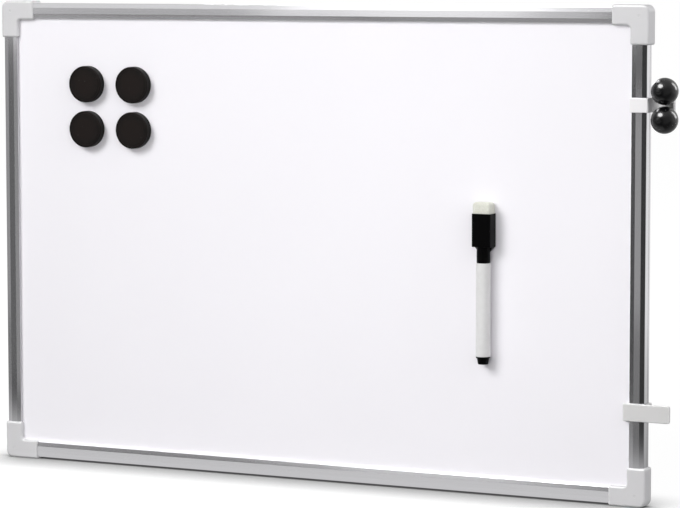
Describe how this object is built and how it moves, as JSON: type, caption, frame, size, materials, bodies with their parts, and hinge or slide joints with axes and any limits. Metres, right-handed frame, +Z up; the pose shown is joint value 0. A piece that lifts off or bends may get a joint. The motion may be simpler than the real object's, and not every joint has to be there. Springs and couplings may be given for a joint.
{
  "type": "magnetic whiteboard",
  "caption": "Framed magnetic whiteboard with moulded corner caps, disc and knob magnets, clips that slide on one bar, and a marker whose capped end has an eraser and clings to the sheet.",
  "frame": {"origin": "middle of the board on the wall plane, which is the centre of the four hanging holes in the corner caps' backs", "axes": "+Z up, +X to the right along the board's width, -Y out of the writing face"},
  "size_m": [0.6282, 0.0253, 0.404],
  "materials": {
    "aluminium": "satin drawn aluminium",
    "cap_plastic": "light grey moulded plastic",
    "white_lacquer": "glossy white lacquer on steel",
    "core_board": "plain fibreboard",
    "zinc_sheet": "zinc coated steel sheet",
    "clip_plastic": "off-white moulded plastic",
    "keeper_steel": "bare steel plate",
    "knob_plastic": "glossy black plastic",
    "disc_plastic": "matte brownish black plastic",
    "ferrite": "sintered ferrite",
    "marker_black": "satin black plastic",
    "barrel_plastic": "plain light grey plastic",
    "eraser_felt": "cream felt",
    "nib_fibre": "ink soaked fibre",
    "ink_fibre": "ink soaked fibre rod"
  },
  "bodies": {
    "root": {"frame_top": "aluminium", "frame_bottom": "aluminium", "frame_left": "aluminium", "frame_right": "aluminium", "corner_cap_top_left": "cap_plastic", "corner_cap_top_right": "cap_plastic", "corner_cap_bottom_left": "cap_plastic", "corner_cap_bottom_right": "cap_plastic", "writing_sheet": "white_lacquer", "panel_core": "core_board", "backing_sheet": "zinc_sheet"},
    "upper_clip": {"upper_clip": "clip_plastic", "keeper_plate": "keeper_steel"},
    "lower_clip": {"lower_clip": "clip_plastic"},
    "knob_upper": {"knob_upper": "knob_plastic", "knob_magnet_upper": "ferrite"},
    "knob_lower": {"knob_lower": "knob_plastic", "knob_magnet_lower": "ferrite"},
    "disc_1": {"disc_cover_1": "disc_plastic", "disc_magnet_1": "ferrite"},
    "disc_2": {"disc_cover_2": "disc_plastic", "disc_magnet_2": "ferrite"},
    "disc_3": {"disc_cover_3": "disc_plastic", "disc_magnet_3": "ferrite"},
    "disc_4": {"disc_cover_4": "disc_plastic", "disc_magnet_4": "ferrite"},
    "marker_cap": {"marker_cap": "marker_black", "cap_magnet": "ferrite", "cap_eraser": "eraser_felt"},
    "marker_pen": {"marker_barrel": "barrel_plastic", "nib_holder": "marker_black", "marker_nib": "nib_fibre", "ink_reservoir": "ink_fibre", "end_plug": "marker_black"}
  },
  "joints": [
    {"name": "upper_clip_slide", "type": "slide", "parent": "root", "child": "upper_clip", "axis": [0, 0, 1], "range_m": [-0.1, 0.04]},
    {"name": "lower_clip_slide", "type": "slide", "parent": "root", "child": "lower_clip", "axis": [0, 0, 1], "range_m": [-0.035, 0.1]},
    {"name": "knob_upper_pull", "type": "slide", "parent": "upper_clip", "child": "knob_upper", "axis": [0, -1, 0], "range_m": [0, 0.05]},
    {"name": "knob_lower_pull", "type": "slide", "parent": "upper_clip", "child": "knob_lower", "axis": [0, -1, 0], "range_m": [0, 0.05]},
    {"name": "disc_1_pull", "type": "slide", "parent": "root", "child": "disc_1", "axis": [0, -1, 0], "range_m": [0, 0.06]},
    {"name": "disc_2_pull", "type": "slide", "parent": "root", "child": "disc_2", "axis": [0, -1, 0], "range_m": [0, 0.06]},
    {"name": "disc_3_pull", "type": "slide", "parent": "root", "child": "disc_3", "axis": [0, -1, 0], "range_m": [0, 0.06]},
    {"name": "disc_4_pull", "type": "slide", "parent": "root", "child": "disc_4", "axis": [0, -1, 0], "range_m": [0, 0.06]},
    {"name": "marker_pull", "type": "slide", "parent": "root", "child": "marker_cap", "axis": [0, -1, 0], "range_m": [0, 0.06]},
    {"name": "marker_uncap", "type": "slide", "parent": "marker_cap", "child": "marker_pen", "axis": [0, 0, -1], "range_m": [0, 0.035]}
  ]
}
